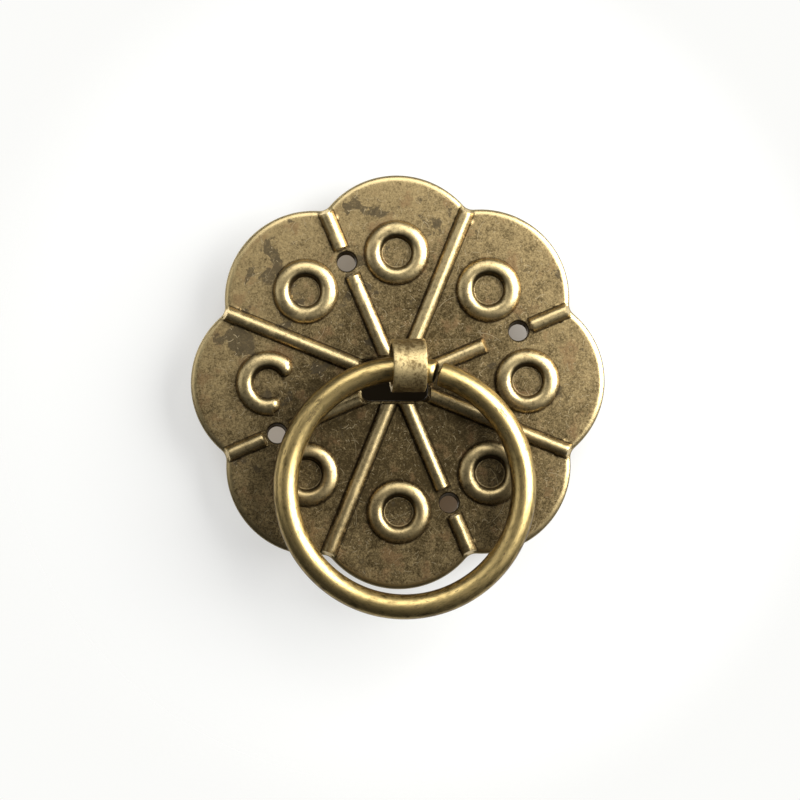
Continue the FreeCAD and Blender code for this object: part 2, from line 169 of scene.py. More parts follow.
class Shade:
    """A socket in a finish. Arithmetic on it adds Math nodes."""

    def __init__(self, tree, socket):
        self.tree = tree
        self.socket = socket

    def node(self, kind, settings, sockets, output=0):
        """Adds a node with its settings first, then the values or links of its sockets."""
        made = self.tree.nodes.new(kind)
        for name, setting in settings.items():
            setattr(made, name, setting)
        for name, given in sockets.items():
            if isinstance(given, Shade):
                self.tree.links.new(given.socket, made.inputs[name])
            else:
                made.inputs[name].default_value = given
        return Shade(self.tree, made.outputs[output])

    def math(self, operation, first, second=0.0):
        return self.node("ShaderNodeMath", {"operation": operation}, {0: first, 1: second})

    def __add__(self, other):
        return self.math("ADD", self, other)

    def __sub__(self, other):
        return self.math("SUBTRACT", self, other)

    def __rsub__(self, other):
        return self.math("SUBTRACT", other, self)

    def __mul__(self, other):
        return self.math("MULTIPLY", self, other)

    def __truediv__(self, other):
        return self.math("DIVIDE", self, other)

    def __abs__(self):
        return self.math("ABSOLUTE", self)

    def most(self, other):
        return self.math("MAXIMUM", self, other)

    def axis(self, name):
        """One of the three parts of this position."""
        return self.node("ShaderNodeSeparateXYZ", {}, {"Vector": self}, name)

    def kept(self, name):
        """A number that was kept for each point of the mesh."""
        return self.node("ShaderNodeAttribute", {"attribute_name": name}, {}, "Fac")

    def ramp(self, low, high, start=0.0, end=1.0):
        """Goes smoothly from start to end as this value goes from low to high."""
        return self.node(
            "ShaderNodeMapRange",
            {"interpolation_type": "SMOOTHSTEP"},
            {"Value": self, "From Min": low, "From Max": high, "To Min": start, "To Max": end},
        )

    def mixed(self, under, over):
        """A colour between two, by this value."""
        return self.node("ShaderNodeMix", {"data_type": "RGBA"}, {0: self, 6: under, 7: over}, 2)

    def noise(self, scale, detail, roughness, distortion=0.0):
        """Noise on this position."""
        sockets = {
            "Vector": self,
            "Scale": scale,
            "Detail": detail,
            "Roughness": roughness,
            "Distortion": distortion,
        }
        return self.node("ShaderNodeTexNoise", {}, sockets)


def colour(red, green, blue):
    """A solid colour."""
    return (red, green, blue, 1)


# tones of the plate
DARK_PATINA = colour(0.08, 0.056, 0.024)
PALE_PATINA = colour(0.47, 0.35, 0.168)
WARM_PATINA = colour(0.26, 0.15, 0.07)
BLOTCH_BROWN = colour(0.07, 0.055, 0.034)
SCRATCH_BRASS = colour(0.66, 0.53, 0.31)
# rubbed brass, in painted shade low down and in painted light higher up
RUBBED_SHADED_LOW = colour(0.5, 0.385, 0.19)
RUBBED_LIT_HIGH = colour(0.66, 0.52, 0.265)
# painted shade in creases, recesses, hole walls and on the cut edge, and the darker back
SHADE_BLACK = colour(0.03, 0.021, 0.01)
# a pale line round the boss floors, partly worn brass and partly a painted highlight
FLOOR_HIGHLIGHT_BRASS = colour(0.62, 0.51, 0.30)

# tones of the pin and the ring
PIN_DULL = colour(0.16, 0.112, 0.048)
PIN_BRIGHT = colour(0.66, 0.52, 0.26)
RING_DULL = colour(0.12, 0.081, 0.029)
RING_BRIGHT = colour(0.68, 0.507, 0.21)
PIT_BROWN = colour(0.08, 0.058, 0.03)
# painted shade in the ring's gap
GAP_SHADE_BLACK = colour(0.012, 0.009, 0.005)

# tones of the board and the room
BOARD_PAINT = colour(0.285, 0.287, 0.28)
BOARD_GLOW = colour(1.0, 1.0, 0.985)
DIM_LEFT = colour(0.45, 0.4, 0.345)
DIM_RIGHT = colour(0.26, 0.225, 0.19)
DIM_LOW = colour(0.08, 0.038, 0.013)
# painted shade on the board behind the slot
SLOT_SHADE_PAINT = colour(0.01, 0.008, 0.006)
SLOT_SHADE_GLOW = colour(0.009, 0.0065, 0.0035)
ROOM_DARK = colour(0.03, 0.03, 0.03)
ROOM_SEEN = colour(0.97, 0.97, 0.95)


def scratches(place, cell, length, width, shift):
    """Short hairlines on a flat position, one at a random slant in each cell."""
    moved = place.node(
        "ShaderNodeVectorMath", {"operation": "ADD"}, {0: place, 1: (shift, -shift, 0)}
    )
    cells = {"voronoi_dimensions": "2D"}
    grid = {"Vector": moved, "Scale": 1 / cell}
    centre = place.node("ShaderNodeTexVoronoi", cells, grid, "Position")
    chance = place.node("ShaderNodeTexVoronoi", cells, grid, "Color")
    part = place.node("ShaderNodeSeparateColor", {}, {"Color": chance})
    bright = place.node("ShaderNodeSeparateColor", {}, {"Color": chance}, "Green")
    away = place.node("ShaderNodeVectorMath", {"operation": "SUBTRACT"}, {0: moved, 1: centre})
    slant = place.node(
        "ShaderNodeVectorRotate",
        {"rotation_type": "Z_AXIS"},
        {"Vector": away, "Angle": part * 6.283},
    )
    along, across = slant.axis("X"), slant.axis("Y")
    bend = across + along * along * (bright - 0.7) * (2.5 / length)
    inside = abs(along).ramp(length * 0.4, length * 0.5, 1.0, 0.0)
    return abs(bend).ramp(width * 0.1, width * 0.5, 1.0, 0.0) * inside * bright.ramp(0.58, 0.95)


def new_finish(name):
    """A new material with its tree and shader, and the position on the piece in millimetres."""
    finish = bpy.data.materials.new(name)
    finish.use_nodes = True
    tree = finish.node_tree
    shader = tree.nodes["Principled BSDF"]
    place = Shade(tree, tree.nodes.new("ShaderNodeTexCoord").outputs["Object"])
    place = place.node(
        "ShaderNodeVectorMath", {"operation": "SCALE"}, {0: place, "Scale": 1 / MILLIMETRE}
    )
    return finish, tree, shader, place


def wired(tree, shader, **shades):
    """Links shades to the shader's sockets, whose names have spaces for underscores."""
    for name, shade in shades.items():
        tree.links.new(shade.socket, shader.inputs[name.replace("_", " ")])


def painted_edge_lines(side, up):
    """Thin lines on the face: a pale one round each whole boss's floor, partly worn brass and
    partly a painted highlight, and painted shade at the feet of bosses and ribs and round the
    floors.
    """
    step = 2 * math.pi / LOBES
    out = side.math("SQRT", side * side + up * up)
    angle = side.math("ARCTAN2", up, side)
    off_lobe = angle - side.math("ROUND", angle / step) * step
    ahead = out * side.math("COSINE", off_lobe) - BOSS_CIRCLE
    across = out * side.math("SINE", off_lobe)
    spread = side.math("SQRT", ahead * ahead + across * across)
    floor = abs(spread - FLOOR_LINE).ramp(0.03, 0.08, 1.0, 0.0) * side.ramp(*RIGHT_OF_OPEN_BOSS)
    off_rib = angle - step / 2 - side.math("ROUND", angle / step - 0.5) * step
    from_rib = abs(out * side.math("SINE", off_rib))
    rib_foot = abs(from_rib - RIB_FOOT_LINE).ramp(0.03, 0.09, 1.0, 0.0)
    boss_foot = abs(spread - BOSS_FOOT_LINE).ramp(0.03, 0.09, 1.0, 0.0)
    # painted shade in the recess round a boss's floor, wider and darker above the boss's middle
    rise = up - side.math("SINE", angle - off_lobe) * BOSS_CIRCLE
    recess_end = (spread - rise.ramp(0.0, 1.5, 0.0, 0.2)).ramp(1.5, 1.8, 1.0, 0.0)
    recess_shade = spread.ramp(1.36, 1.42) * recess_end * rise.ramp(-1.5, 1.0, 0.55, 0.9)
    return floor, (rib_foot * 0.75).most(boss_foot * 0.4).most(recess_shade)


def plate_finish():
    """Antique brass: brown-black patina, mottled and scratched, rubbed bright where it's proud,
    with painted light and shade in its tones and lines.
    """
    finish, tree, shader, place = new_finish("plate_brass")
    wear_and_painted_light, painted_shade, foot = place.kept("wear_and_painted_light"), place.kept("painted_shade"), place.kept("foot")
    # the flat position on the plate, for what is scratched into its face
    side, up = place.axis("X"), place.axis("Z")
    face = place.node("ShaderNodeCombineXYZ", {}, {"X": side, "Y": up})

    mottle = place.noise(1.0, 6.0, 0.66)
    speckle = place.noise(3.6, 5.0, 0.7)
    grain = place.noise(7.5, 3.0, 0.6)
    # painted light and shade in the patina's tone: paler towards the rim, darker towards the middle
    # and low down, and higher up paler to the left
    rim_light_middle_shade = place.math("SQRT", side * side + up * up).ramp(7.0, 19.0, -0.05, 0.06)
    shaded = up.ramp(-19.0, 12.0, -0.07, 0.03)
    shaded = shaded + up.ramp(0.0, 10.0) * side.ramp(-14.0, 14.0, 0.025, -0.025)
    tarnish_and_shade = (mottle * 0.32 + speckle * 0.3 + grain * 0.38 + rim_light_middle_shade + shaded).ramp(0.37, 0.69)
    brass = tarnish_and_shade.mixed(DARK_PATINA, PALE_PATINA)
    warm = place.noise(0.5, 4.0, 0.65).ramp(0.54, 0.68, 0.0, 0.5)
    brass = warm.mixed(brass, WARM_PATINA)
    upper_left = (up - side).ramp(-10.0, 24.0, 0.0, 0.09)
    blotch = (place.noise(0.36, 7.0, 0.6, 0.3) + upper_left).ramp(0.635, 0.675)
    brass = (blotch * speckle.ramp(0.3, 0.55, 0.45, 0.85)).mixed(brass, BLOTCH_BROWN)

    hair = scratches(face, 1.4, 0.9, 0.09, 0.0)
    for cell, length, width, shift in (
        (1.0, 0.55, 0.09, 3.7),
        (0.8, 0.3, 0.10, 8.1),
        (3.4, 2.8, 0.08, 21.9),
        (0.6, 0.2, 0.10, 31.7),
    ):
        hair = hair.most(scratches(face, cell, length, width, shift))
    hair = hair * place.noise(0.35, 2.0, 0.5).ramp(0.38, 0.6, 0.5, 1.0)
    brass = (hair * 0.85).mixed(brass, SCRATCH_BRASS)

    rubbed = wear_and_painted_light + (speckle - 0.5) * 1.1 + (mottle - 0.5) * 0.9 + (grain - 0.5) * 0.5
    rubbed = rubbed.ramp(0.3, 1.0, 0.0, 0.9)
    # painted light: rubbed brass is darker low down and paler higher up
    brass = rubbed.mixed(brass, up.ramp(-14.0, 3.0).mixed(RUBBED_SHADED_LOW, RUBBED_LIT_HIGH))
    # the pale line round each floor is partly worn brass and partly a painted highlight; painted
    # shade darkens the feet, the recesses, the hole walls and the cut edge
    line, foot_shade = painted_edge_lines(side, up)
    line = line * foot
    brass = painted_shade.most(foot_shade * foot).mixed(brass, SHADE_BLACK)
    brass = (line * 0.6).mixed(brass, FLOOR_HIGHLIGHT_BRASS)

    rough = 0.45 - rubbed * 0.09 + (speckle - 0.5) * 0.22 + blotch * 0.1 - hair * 0.08
    dents = place.noise(0.5, 2.0, 0.5) * 0.6 + mottle * 0.16 + speckle * 0.08
    dents = dents - hair * 0.06 - line * 0.3
    bump = place.node("ShaderNodeBump", {}, {"Strength": 0.4, "Distance": 0.0001, "Height": dents})
    shader.inputs["Metallic"].default_value = 1.0
    wired(tree, shader, Base_Color=brass, Roughness=rough, Normal=bump)
    return finish


def along_wire(place):
    """The position unrolled along the ring's wire, drawn out along it, with its seam in the gap."""
    arm = place.node("ShaderNodeVectorMath", {"operation": "SUBTRACT"}, {0: place, 1: RING_CENTRE})
    turn = {"Vector": arm, "Angle": math.radians(GAP_MIDDLE - 180)}
    arm = place.node("ShaderNodeVectorRotate", {"rotation_type": "Y_AXIS"}, turn)
    side, forward, up = arm.axis("X"), arm.axis("Y"), arm.axis("Z")
    along = place.math("ARCTAN2", up, side) * (RING_RADIUS * 0.35)
    out = place.math("SQRT", side * side + up * up)
    return place.node("ShaderNodeCombineXYZ", {}, {"X": along, "Y": forward, "Z": out})


def drawn_finish(name, dull, bright, streak_scale, roughness, wire):
    """Antique brass of the ring and the pin: brown patina in pits and streaks over rubbed metal,
    with the ring's cut ends painted black as shade.
    """
    finish, tree, shader, place = new_finish(name)
    place = along_wire(place) if wire else place
    wear_and_painted_light = place.kept("wear_and_painted_light")
    clouds = place.noise(0.7, 4.0, 0.6)
    pits = place.noise(streak_scale, 4.0, 0.65)
    rubbed = (wear_and_painted_light * 0.8 + (clouds - 0.5) * 1.2 + (pits - 0.5) * 1.7).ramp(0.1, 0.9)
    brass = rubbed.mixed(dull, bright)
    spots = (pits * 0.7 + clouds * 0.3).ramp(0.54, 0.64, 0.0, 0.75)
    brass = spots.mixed(brass, PIT_BROWN)
    # a value below nothing marks the ring's cut ends, painted black as shade in the gap
    brass = wear_and_painted_light.ramp(-0.9, -0.2, 1.0, 0.0).mixed(brass, GAP_SHADE_BLACK)
    rough = roughness - rubbed * 0.08 + (pits - 0.5) * 0.14 + spots * 0.15
    dents = clouds * 0.5 + pits * 0.12
    bump = place.node("ShaderNodeBump", {}, {"Strength": 0.25, "Distance": 0.0001, "Height": dents})
    shader.inputs["Metallic"].default_value = 1.0
    wired(tree, shader, Base_Color=brass, Roughness=rough, Normal=bump)
    return finish


def add_object(name, data):
    """Puts a new object into the scene."""
    made = bpy.data.objects.new(name, data)
    bpy.context.scene.collection.objects.link(made)
    return made


def mesh_in_metres(bm, name):
    """Turns a shape worked in millimetres into a mesh in metres."""
    bmesh.ops.recalc_face_normals(bm, faces=bm.faces)
    bmesh.ops.scale(bm, vec=(MILLIMETRE,) * 3, verts=bm.verts)
    mesh = bpy.data.meshes.new(name)
    bm.to_mesh(mesh)
    bm.free()
    return mesh


def as_piece(bm, name, finish, body, node):
    """Hangs a worked shape on its body in place of its solid."""
    for face in bm.faces:
        face.smooth = True
    mesh = mesh_in_metres(bm, name)
    mesh.set_sharp_from_angle(angle=math.radians(SHARP_ANGLE))
    mesh.materials.append(finish)
    piece = add_object(name, mesh)
    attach(piece, body)
    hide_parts(node)
    return piece


def painted(mesh, name, measure):
    """Keeps a number for each point of a mesh, worked out from its place in millimetres."""
    layer = mesh.attributes.new(name, "FLOAT", "POINT")
    layer.data.foreach_set("value", [measure(point.co / MILLIMETRE) for point in mesh.vertices])


def share(value):
    """Keeps a number between 0 and 1."""
    return max(0.0, min(1.0, value))


def picked(geometry, kind):
    """The points or the edges in what a step made."""
    return [item for item in geometry if isinstance(item, kind)]


def rounded(bm, geometry, offset, segments, affect):
    """Rounds corners or edges."""
    bmesh.ops.bevel(
        bm, geom=geometry, offset=offset, offset_type="OFFSET", segments=segments, profile=0.5,
        affect=affect, material=-1,
    )


def outline_reach(angle):
    """How far the flower outline reaches from the middle, in a direction in radians."""
    step = 2 * math.pi / LOBES
    off_lobe = abs((angle + step / 2) % step - step / 2)
    along = LOBE_CIRCLE * math.cos(step / 2)
    across = LOBE_CIRCLE * math.sin(step / 2)
    notch_reach = along + math.sqrt((LOBE_RADIUS + NOTCH_RADIUS) ** 2 - across**2)
    lean = math.atan2(
        notch_reach * math.sin(step / 2), notch_reach * math.cos(step / 2) - LOBE_CIRCLE
    )
    meeting = math.atan2(
        LOBE_RADIUS * math.sin(lean), LOBE_CIRCLE + LOBE_RADIUS * math.cos(lean)
    )
    if off_lobe <= meeting:
        drop = LOBE_CIRCLE * math.sin(off_lobe)
        return LOBE_CIRCLE * math.cos(off_lobe) + math.sqrt(LOBE_RADIUS**2 - drop**2)
    off_notch = step / 2 - off_lobe
    drop = notch_reach * math.sin(off_notch)
    return notch_reach * math.cos(off_notch) - math.sqrt(NOTCH_RADIUS**2 - drop**2)


def rib_distance(x, z):
    """Distance to the nearest rib's middle line."""
    nearest = math.inf
    for direction, start, tip in RIBS:
        ray = Vector((math.cos(math.radians(direction)), math.sin(math.radians(direction))))
        along = x * ray.x + z * ray.y
        across = (z * ray.x - x * ray.y) * RIDGE_HALF / RIB_HALF
        past = max(along - (tip - RIB_END_ROUND), start - along, 0) * RIDGE_HALF / RIB_END_ROUND
        nearest = min(nearest, math.hypot(across, past))
    return nearest


def boss_distance(x, z):
    """Distance to the nearest ring boss's crest, the gentler outer side counted shorter."""
    step = 2 * math.pi / LOBES
    number = round(math.atan2(z, x) / step) % LOBES
    middle = Vector((math.cos(number * step), math.sin(number * step))) * BOSS_CIRCLE
    x, z = x - middle.x, z - middle.y
    turn = (math.degrees(math.atan2(z, x)) - OPEN_BOSS_START) % 360
    if number != LOBES // 2 or turn <= OPEN_BOSS_SWEEP:
        off_crest = math.hypot(x, z) - BOSS_CREST
        return max(
            -off_crest * RIDGE_HALF / BOSS_INNER_HALF, off_crest * RIDGE_HALF / BOSS_OUTER_HALF
        )
    ends = (math.radians(OPEN_BOSS_START), math.radians(OPEN_BOSS_START + OPEN_BOSS_SWEEP))
    return min(
        math.hypot(x - BOSS_CREST * math.cos(end), z - BOSS_CREST * math.sin(end)) for end in ends
    )


def pressing(x, z):
    """Distance to the nearest rib or boss crest, which reaches RIDGE_HALF at its foot."""
    return min(rib_distance(x, z), boss_distance(x, z))


def ridge(distance, half, height):
    """A half-round ridge."""
    return height * math.sqrt(max(0.0, 1 - (distance / half) ** 2))


def on_foot(x, z, half):
    """Moves a place close to a ridge's foot on to the foot, so that the foot comes out crisp."""
    near = pressing(x, z)
    if abs(near - half) > max(FOOT_CATCH, math.hypot(x, z) * FOOT_CATCH_SHARE):
        return x, z
    slope = Vector((pressing(x + 0.01, z) - near, pressing(x, z + 0.01) - near)) / 0.01
    shift = slope * (half + 0.001 - near) / max(slope.length_squared, 0.25)
    return x + shift.x, z + shift.y


def spaced(runs):
    """Radii outwards from the middle, in runs that end at a radius and have a gap."""
    radii = [1.0]
    for end, gap in runs:
        first = radii[-1]
        count = round((end - first) / gap)
        radii += [first + (end - first) * n / count for n in range(1, count + 1)]
    return radii


def plate_section():
    """The plate's section: out over the face, round the rim and back."""
    section = [("face", radius) for radius in spaced(FACE_RUNS)]
    section += [("rim", math.radians(90 / RIM_STEPS * n)) for n in range(1, RIM_STEPS + 1)]
    return section + [("back", radius) for radius in reversed(spaced(BACK_RUNS))]


def plate_point(kind, measure, angle):
    """Where a point of the section comes, in a direction in radians, outline and pressing in."""
    reach = outline_reach(angle)
    if kind == "rim":
        ring = reach - RIM_WIDTH * (1 - math.sin(measure))
    elif measure > ROUND_REACH:
        inset = RIM_WIDTH if kind == "face" else 0.0
        room, whole = reach - inset - ROUND_REACH, PLATE_REACH - inset - ROUND_REACH
        ring = ROUND_REACH + (measure - ROUND_REACH) * room / whole
    else:
        ring = measure
    x, z = ring * math.cos(angle), ring * math.sin(angle)
    if kind == "back":
        if measure <= HOLLOW_START:
            return (x, 0.0, z)
        if measure < FOOT_END:
            x, z = on_foot(x, z, HOLLOW_HALF)
        return (x, -ridge(pressing(x, z), HOLLOW_HALF, HOLLOW_HALF), z)
    if kind == "face" and FOOT_START < measure < FOOT_END:
        x, z = on_foot(x, z, RIDGE_HALF)
    fall = RIM_DROP * (1 - math.cos(measure)) if kind == "rim" else 0.0
    return (x, fall - SHEET - ridge(pressing(x, z), RIDGE_HALF, RIDGE_HEIGHT), z)


def flare_steps(taper, flare):
    """How far a punched edge opens out at each height, from behind the plate to well before it."""
    steps = [(PUNCH_BACK, -taper)]
    for degrees in FLARE_TURNS:
        turn = math.radians(degrees)
        steps.append((-(SHEET - flare + flare * math.sin(turn)), flare * (1 - math.cos(turn))))
    height, out = steps[-1]
    wide = out + PUNCH_SHOULDER["wide"]
    return steps + [(height - PUNCH_SHOULDER["long"], wide), (PUNCH_FRONT, wide)]


def nail_middle(number):
    """The middle of one of the nail holes, which are a quarter turn apart."""
    direction = math.radians(HALF_LOBE + 90 * number)
    return NAIL_CIRCLE * math.cos(direction), NAIL_CIRCLE * math.sin(direction)


def nail_distance(x, z):
    """Distance to the edge of the nearest nail hole."""
    number = round((math.degrees(math.atan2(z, x)) - HALF_LOBE) / 90)
    nail_x, nail_z = nail_middle(number)
    return math.hypot(x - nail_x, z - nail_z) - NAIL_HOLE


def slot_distance(x, z):
    """Distance to the edge of the slot."""
    return max(SLOT["left"] - x, x - SLOT["right"], SLOT["bottom"] - z, z - SLOT["top"])


def nail_tools():
    """The punches of the four nail holes."""
    bm = bmesh.new()
    steps = flare_steps(NAIL_TAPER, NAIL_FLARE)
    for number in range(4):
        nail_x, nail_z = nail_middle(number)
        middle = Vector((nail_x, 0, nail_z))
        wall = [bm.verts.new(middle + Vector((NAIL_HOLE + out, y, 0))) for y, out in steps]
        points = [bm.verts.new(middle + Vector((0, steps[0][0], 0)))] + wall
        points.append(bm.verts.new(middle + Vector((0, steps[-1][0], 0))))
        edges = [bm.edges.new(pair) for pair in zip(points, points[1:])]
        bmesh.ops.spin(
            bm, geom=points + edges, cent=middle, axis=(0, 1, 0), angle=2 * math.pi, steps=64,
            use_merge=True,
        )
    bmesh.ops.remove_doubles(bm, verts=bm.verts, dist=1e-5)
    # the punch leaned, so each hole's upper wall shows
    behind = [point for point in bm.verts if point.co.y > PUNCH_BACK / 2]
    bmesh.ops.translate(bm, vec=PUNCH_LEAN, verts=behind)
    return add_object("nail_tools", mesh_in_metres(bm, "nail_tools"))


def slot_tool():
    """The punch of the slot, with rounded corners."""
    bm = bmesh.new()
    width = SLOT["right"] - SLOT["left"]
    height = SLOT["top"] - SLOT["bottom"]
    middle = Vector(((SLOT["right"] + SLOT["left"]) / 2, 0, (SLOT["top"] + SLOT["bottom"]) / 2))
    bmesh.ops.create_grid(bm, x_segments=1, y_segments=1, size=0.5)
    bmesh.ops.scale(bm, vec=(width, height, 1), verts=bm.verts)
    bmesh.ops.rotate(bm, cent=(0, 0, 0), matrix=UPRIGHT, verts=bm.verts)
    rounded(bm, bm.verts[:], SLOT_CORNER, 8, "VERTICES")
    steps = flare_steps(0.0, SLOT_FLARE)
    bmesh.ops.translate(bm, vec=middle + Vector((0, steps[0][0], 0)), verts=bm.verts)
    brim = bm.edges[:]
    for (y, out), (next_y, next_out) in zip(steps, steps[1:]):
        wall = bmesh.ops.extrude_edge_only(bm, edges=brim)["geom"]
        brim = picked(wall, bmesh.types.BMEdge)
        points = picked(wall, bmesh.types.BMVert)
        wider = (width / 2 + next_out) / (width / 2 + out)
        taller = (height / 2 + next_out) / (height / 2 + out)
        bmesh.ops.translate(bm, vec=(0, next_y - y, 0), verts=points)
        bmesh.ops.scale(
            bm, vec=(wider, 1, taller), space=Matrix.Translation(-middle), verts=points
        )
    bmesh.ops.edgeloop_fill(bm, edges=brim)
    return add_object("slot_tool", mesh_in_metres(bm, "slot_tool"))


def plate_wear_and_highlight(point):
    """How far the plate is rubbed: crests, the rim and the lips of the holes, whose brightness is
    partly a painted highlight.
    """
    x, z = point.x, point.z
    height = (-point.y - SHEET) / RIDGE_HEIGHT
    crest = 0.85 * share((height - 0.15) / 0.6)
    inside = outline_reach(math.atan2(z, x)) - math.hypot(x, z)
    rim = 1.2 * share((0.75 - inside) / 0.4)
    nail_lip = max(0.0, 1 - abs(nail_distance(x, z) - 0.25) / 0.15)
    slot_lip = max(0.0, 1 - abs(slot_distance(x, z) - 0.2) / 0.2)
    return max(crest, rim, 0.4 * nail_lip, 0.9 * slot_lip)


def plate_painted_shade(point):
    """How dark the plate is painted: painted shade on the walls of the holes and on the cut edge,
    and the back a little darker.
    """
    x, y, z = point
    in_slot = slot_distance(x, z) < 0.09 and y > -0.4
    if nail_distance(x, z) < 0.13 or in_slot:
        return 0.92
    if outline_reach(math.atan2(z, x)) - math.hypot(x, z) < 0.05:
        return 0.7
    return 0.0 if y < -0.3 else 0.2


def plate_foot(point):
    """Where the thin lines of painted highlight and painted shade may show: on the face, on ridges
    and close to their feet.
    """
    near = pressing(point.x, point.z) - RIDGE_HALF
    return share((0.5 - near) / 0.2) if point.y < -0.3 else 0.0


def make_plate(finish):
    """Spins the section round, presses and outlines it point by point, then punches the holes."""
    bm = bmesh.new()
    section = plate_section()
    # the section starts out as points 1 mm apart, so that a point's radius tells its number
    loop = [bm.verts.new((SECTION_START + number, 0, 0)) for number in range(len(section))]
    edges = [bm.edges.new(pair) for pair in zip(loop, loop[1:] + loop[:1])]
    bmesh.ops.spin(
        bm, geom=loop + edges, cent=(0, 0, 0), axis=(0, -1, 0), angle=2 * math.pi,
        steps=PLATE_STEPS, use_merge=True,
    )
    bmesh.ops.remove_doubles(bm, verts=bm.verts, dist=1e-4)
    for point in bm.verts:
        kind, measure = section[round(math.hypot(point.co.x, point.co.z)) - SECTION_START]
        point.co = plate_point(kind, measure, math.atan2(point.co.z, point.co.x))
    plate = as_piece(bm, "pressed_plate", finish, "plate", "backplate")
    tools = (nail_tools(), slot_tool())
    for tool in tools:
        cut = plate.modifiers.new(tool.name, "BOOLEAN")
        cut.operation = "DIFFERENCE"
        cut.solver = "MANIFOLD"
        cut.object = tool
    settled = plate.evaluated_get(bpy.context.evaluated_depsgraph_get())
    mesh = bpy.data.meshes.new_from_object(settled)
    plate.modifiers.clear()
    plate.data = mesh
    for tool in tools:
        bpy.data.objects.remove(tool)
    mesh.set_sharp_from_angle(angle=math.radians(PLATE_SHARP_ANGLE))
    painted(mesh, "wear_and_painted_light", plate_wear_and_highlight)
    painted(mesh, "painted_shade", plate_painted_shade)
    painted(mesh, "foot", plate_foot)


def make_pin(finish):
    """Bends a line into a leg, the eye and a leg, widens it into a strip and thickens that."""
    bm = bmesh.new()
    neck = EYE_FORWARD - math.sqrt(EYE_RADIUS**2 - LEG_OUTER**2)
    spread = math.asin(LEG_OUTER / EYE_RADIUS)
    upper_tip = bm.verts.new((0, SHORT_LEG, LEG_OUTER))
    upper_neck = bm.verts.new((0, -neck, LEG_OUTER))
    bm.edges.new((upper_tip, upper_neck))
    eye = (0, -EYE_FORWARD, 0)
    loop = bmesh.ops.spin(
        bm, geom=[upper_neck], cent=eye, axis=(1, 0, 0), angle=2 * math.pi - 2 * spread,
        steps=EYE_STEPS,
    )
    lower_neck = picked(loop["geom_last"], bmesh.types.BMVert)[0]
    lower_tip = bm.verts.new((0, LONG_LEG, -LEG_OUTER))
    bm.edges.new((lower_neck, lower_tip))
    rounded(bm, [upper_neck, lower_neck], NECK_BEND, 6, "VERTICES")
    bmesh.ops.translate(bm, vec=(-STRIP_WIDTH / 2, 0, 0), verts=bm.verts)
    rail = bm.edges[:]
    for _ in range(STRIP_STEPS):
        made = bmesh.ops.extrude_edge_only(bm, edges=rail)["geom"]
        rail = picked(made, bmesh.types.BMEdge)
        points = picked(made, bmesh.types.BMVert)
        bmesh.ops.translate(bm, vec=(STRIP_WIDTH / STRIP_STEPS, 0, 0), verts=points)
    bmesh.ops.recalc_face_normals(bm, faces=bm.faces)
    bmesh.ops.solidify(bm, geom=bm.faces[:], thickness=STRIP_THICKNESS)
    sharp = [
        edge for edge in bm.edges
        if edge.is_manifold and edge.calc_face_angle() > math.radians(60)
    ]
    rounded(bm, sharp, STRIP_EDGE, 3, "EDGES")
    bmesh.ops.transform(bm, matrix=PIN_PLACE, verts=bm.verts)
    pin = as_piece(bm, "folded_pin", finish, "plate", "split_pin")
    eye_middle = PIN_PLACE @ Vector(eye)
    across = PIN_PLACE.to_3x3() @ Vector((1, 0, 0))

    def wear_and_painted_light(point):
        """How far the strip is rubbed: its edges and the front of the eye."""
        off_middle = abs((point - eye_middle).dot(across))
        edge = max(0.0, (off_middle - STRIP_WIDTH / 2 + 0.3) / 0.3)
        front = share((eye_middle.y - point.y) / EYE_RADIUS)
        return max(edge, 0.75 * front)

    painted(pin.data, "wear_and_painted_light", wear_and_painted_light)


def make_ring(finish):
    """Spins the wire's section round from one side of the gap to the other."""
    bm = bmesh.new()
    end = bmesh.ops.create_circle(
        bm, cap_ends=False, segments=WIRE_STEPS, radius=WIRE_RADIUS
    )["verts"]
    bmesh.ops.translate(bm, vec=(RING_RADIUS, 0, 0), verts=end)
    start_turn = Matrix.Rotation(-math.radians(GAP_MIDDLE + GAP_ANGLE / 2), 3, "Y")
    bmesh.ops.rotate(bm, cent=(0, 0, 0), matrix=start_turn, verts=end)
    for point in end:
        slant = math.radians(GAP_SLANT) * point.co.y / WIRE_RADIUS
        point.co = Matrix.Rotation(slant, 3, "Y") @ point.co
    bmesh.ops.spin(
        bm, geom=bm.verts[:] + bm.edges[:], cent=(0, 0, 0), axis=(0, -1, 0),
        angle=math.radians(360 - GAP_ANGLE), steps=RING_STEPS,
    )
    open_edges = [edge for edge in bm.edges if edge.is_boundary]
    caps = bmesh.ops.edgeloop_fill(bm, edges=open_edges)["faces"]
    caps = sorted(caps, key=lambda cap: cap.calc_center_median().x)
    # the end by the pin is filed round, the other is only broken at its edge
    for cap, round_off in zip(caps, (FILED_END, BROKEN_END)):
        rounded(bm, cap.edges[:], round_off, 6, "EDGES")
    bmesh.ops.translate(bm, vec=RING_CENTRE, verts=bm.verts)
    ring = as_piece(bm, "wire_ring", finish, "ring", "ring")

    def wear_and_painted_light(point):
        """How far the wire is rubbed: its front. Below nothing at the cut ends, which are painted
        black as shade in the gap.
        """
        arm = point - RING_CENTRE
        turn = math.degrees(math.atan2(arm.z, arm.x))
        past_gap = turn - GAP_MIDDLE + GAP_SLANT * arm.y / WIRE_RADIUS
        if -GAP_ANGLE * 0.65 < past_gap < GAP_ANGLE * 0.8:
            return -1.0
        return share((-arm.y / WIRE_RADIUS - 0.1) / 0.7)

    painted(ring.data, "wear_and_painted_light", wear_and_painted_light)


